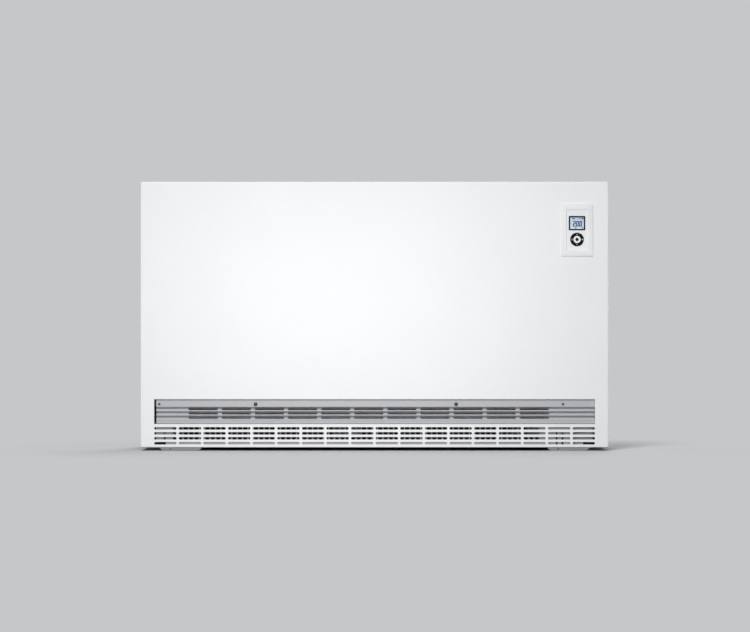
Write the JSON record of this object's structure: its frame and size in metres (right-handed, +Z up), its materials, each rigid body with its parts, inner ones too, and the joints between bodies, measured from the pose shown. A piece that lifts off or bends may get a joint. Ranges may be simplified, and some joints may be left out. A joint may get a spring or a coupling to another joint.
{
  "type": "fan-assisted storage heater",
  "caption": "Wide white wall-backed storage heater: sheet casing on two low feet, louvred outlet and slotted inlet along the bottom, control unit with display and ring of keys at the top right.",
  "frame": {"origin": "centre of the footprint at floor level", "axes": "+X to the right seen from the front, +Y to the wall behind, +Z up"},
  "size_m": [1.13, 0.2767, 0.65],
  "materials": {
    "air_divider": "satin",
    "back_insulation_board": "matte",
    "back_panel": "satin",
    "base_insulation_board": "matte",
    "base_tray": "satin",
    "bimetal_strip": "satin",
    "brick_course_1": "matte",
    "brick_course_2": "matte",
    "brick_course_3": "matte",
    "brick_course_4": "matte",
    "cable_bush": "matte",
    "casing_screws": "satin",
    "centre_key": "gloss",
    "control_bezel": "satin",
    "control_board": "satin",
    "control_cover": "matte",
    "core_sensor": "satin",
    "core_shelf": "satin",
    "cutout_reset_button": "gloss",
    "display_frame": "gloss",
    "element_bushes": "matte",
    "fan_bearings": "satin",
    "flap_shaft": "satin",
    "front_insulation_board": "matte",
    "front_panel": "satin",
    "grille_screws": "satin",
    "heating_element_1": "satin",
    "heating_element_2": "satin",
    "heating_element_3": "satin",
    "inlet_filter": "satin",
    "inner_front_plate": "satin",
    "lcd_panel": "gloss",
    "left_fan_housing": "satin",
    "left_fan_motor": "satin",
    "left_fan_rotor": "satin",
    "left_fan_shaft": "satin",
    "left_foot": "satin",
    "left_insulation_board": "matte",
    "left_key": "gloss",
    "left_side_panel": "satin",
    "left_wall_bracket": "satin",
    "minus_key": "gloss",
    "mixing_flap": "satin",
    "outlet_grille": "satin",
    "partition_plate": "satin",
    "plus_key": "gloss",
    "power_board": "satin",
    "right_fan_housing": "satin",
    "right_fan_motor": "satin",
    "right_fan_rotor": "satin",
    "right_fan_shaft": "satin",
    "right_foot": "satin",
    "right_insulation_board": "matte",
    "right_key": "gloss",
    "right_side_panel": "satin",
    "right_wall_bracket": "satin",
    "safety_cutout": "matte",
    "terminal_block": "matte",
    "top_cover": "satin",
    "top_insulation_board": "matte"
  },
  "bodies": {
    "casing": {"air_divider": "air_divider", "back_insulation_board": "back_insulation_board", "back_panel": "back_panel", "base_insulation_board": "base_insulation_board", "base_tray": "base_tray", "bimetal_strip": "bimetal_strip", "brick_course_1": "brick_course_1", "brick_course_2": "brick_course_2", "brick_course_3": "brick_course_3", "brick_course_4": "brick_course_4", "cable_bush": "cable_bush", "casing_screws": "casing_screws", "control_bezel": "control_bezel", "control_board": "control_board", "control_cover": "control_cover", "core_sensor": "core_sensor", "core_shelf": "core_shelf", "display_frame": "display_frame", "element_bushes": "element_bushes", "fan_bearings": "fan_bearings", "front_insulation_board": "front_insulation_board", "front_panel": "front_panel", "grille_screws": "grille_screws", "heating_element_1": "heating_element_1", "heating_element_2": "heating_element_2", "heating_element_3": "heating_element_3", "inlet_filter": "inlet_filter", "inner_front_plate": "inner_front_plate", "lcd_panel": "lcd_panel", "left_fan_housing": "left_fan_housing", "left_fan_motor": "left_fan_motor", "left_foot": "left_foot", "left_insulation_board": "left_insulation_board", "left_side_panel": "left_side_panel", "left_wall_bracket": "left_wall_bracket", "outlet_grille": "outlet_grille", "partition_plate": "partition_plate", "power_board": "power_board", "right_fan_housing": "right_fan_housing", "right_fan_motor": "right_fan_motor", "right_foot": "right_foot", "right_insulation_board": "right_insulation_board", "right_side_panel": "right_side_panel", "right_wall_bracket": "right_wall_bracket", "safety_cutout": "safety_cutout", "terminal_block": "terminal_block", "top_cover": "top_cover", "top_insulation_board": "top_insulation_board"},
    "left_fan": {"left_fan_rotor": "left_fan_rotor", "left_fan_shaft": "left_fan_shaft"},
    "right_fan": {"right_fan_rotor": "right_fan_rotor", "right_fan_shaft": "right_fan_shaft"},
    "flap": {"mixing_flap": "mixing_flap", "flap_shaft": "flap_shaft"},
    "plus_button": {"plus_key": "plus_key"},
    "minus_button": {"minus_key": "minus_key"},
    "left_button": {"left_key": "left_key"},
    "right_button": {"right_key": "right_key"},
    "centre_button": {"centre_key": "centre_key"},
    "reset_button": {"cutout_reset_button": "cutout_reset_button"}
  },
  "joints": [
    {"name": "left_fan_spin", "type": "hinge", "parent": "casing", "child": "left_fan", "pos_m": [-0.4705, 0.0431, 0.06255], "axis": [1, 0, 0], "continuous": true},
    {"name": "right_fan_spin", "type": "hinge", "parent": "casing", "child": "right_fan", "pos_m": [-0.033, 0.0431, 0.06255], "axis": [1, 0, 0], "continuous": true},
    {"name": "flap_turn", "type": "hinge", "parent": "casing", "child": "flap", "pos_m": [-0.4425, -0.03635, 0.117], "axis": [-1, 0, 0], "range_deg": [0, 40]},
    {"name": "plus_press", "type": "slide", "parent": "casing", "child": "plus_button", "axis": [0, 1, 0], "range_m": [0, 0.0008], "stiffness_N_per_m": 1500},
    {"name": "minus_press", "type": "slide", "parent": "casing", "child": "minus_button", "axis": [0, 1, 0], "range_m": [0, 0.0008], "stiffness_N_per_m": 1500},
    {"name": "left_press", "type": "slide", "parent": "casing", "child": "left_button", "axis": [0, 1, 0], "range_m": [0, 0.0008], "stiffness_N_per_m": 1500},
    {"name": "right_press", "type": "slide", "parent": "casing", "child": "right_button", "axis": [0, 1, 0], "range_m": [0, 0.0008], "stiffness_N_per_m": 1500},
    {"name": "centre_press", "type": "slide", "parent": "casing", "child": "centre_button", "axis": [0, 1, 0], "range_m": [0, 0.0008], "stiffness_N_per_m": 1500},
    {"name": "reset_press", "type": "slide", "parent": "casing", "child": "reset_button", "axis": [-1, 0, 0], "range_m": [0, 0.002], "stiffness_N_per_m": 1500}
  ]
}
